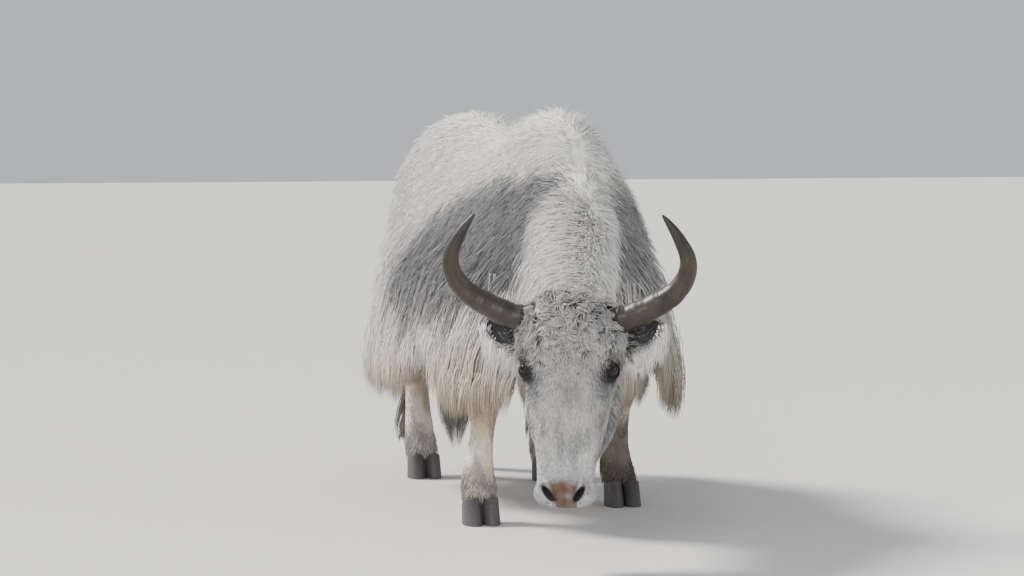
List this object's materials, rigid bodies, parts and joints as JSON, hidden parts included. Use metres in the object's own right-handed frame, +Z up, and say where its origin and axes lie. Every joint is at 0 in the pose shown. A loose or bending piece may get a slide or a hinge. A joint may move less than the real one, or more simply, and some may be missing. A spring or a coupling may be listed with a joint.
{
  "type": "yak",
  "caption": "Standing white and grey long-haired yak, a still, life-size model with its head lowered to graze and its neck bent to its right.",
  "frame": {"origin": "on the floor, under the middle of the whole animal's box", "axes": "-Y the way the trunk faces, +X the animal's left, +Z up; the head is turned towards -X and -Y"},
  "size_m": [0.9958, 2.4606, 1.218],
  "materials": {
    "long_coat": "long matte white hair with grey patches",
    "face_fur": "short and curly white hair over grey",
    "ear_fur": "short dark hair inside, white fringe",
    "horn": "dark brown keratin, ridged, half gloss",
    "horny_sole": "dark grey keratin, worn matte",
    "eye": "wet dark eye"
  },
  "bodies": {
    "root": {"dewclaw_fore_left_inner": "horny_sole", "dewclaw_fore_left_outer": "horny_sole", "dewclaw_fore_right_inner": "horny_sole", "dewclaw_fore_right_outer": "horny_sole", "dewclaw_hind_left_inner": "horny_sole", "dewclaw_hind_left_outer": "horny_sole", "dewclaw_hind_right_inner": "horny_sole", "dewclaw_hind_right_outer": "horny_sole", "ear_left": "ear_fur", "ear_right": "ear_fur", "eye_left": "eye", "eye_right": "eye", "flank_left": "long_coat", "flank_right": "long_coat", "head": "face_fur", "hoof_fore_left_inner": "horny_sole", "hoof_fore_left_outer": "horny_sole", "hoof_fore_right_inner": "horny_sole", "hoof_fore_right_outer": "horny_sole", "hoof_hind_left_inner": "horny_sole", "hoof_hind_left_outer": "horny_sole", "hoof_hind_right_inner": "horny_sole", "hoof_hind_right_outer": "horny_sole", "horn_left": "horn", "horn_right": "horn", "hump": "long_coat", "lower_leg_fore_left": "long_coat", "lower_leg_fore_right": "long_coat", "lower_leg_hind_left": "long_coat", "lower_leg_hind_right": "long_coat", "neck": "long_coat", "rump_left": "long_coat", "rump_right": "long_coat", "shoulder_left": "long_coat", "shoulder_right": "long_coat", "skirt_left": "long_coat", "skirt_right": "long_coat", "tail": "long_coat", "upper_leg_fore_left": "long_coat", "upper_leg_fore_right": "long_coat", "upper_leg_hind_left": "long_coat", "upper_leg_hind_right": "long_coat"}
  },
  "joints": []
}
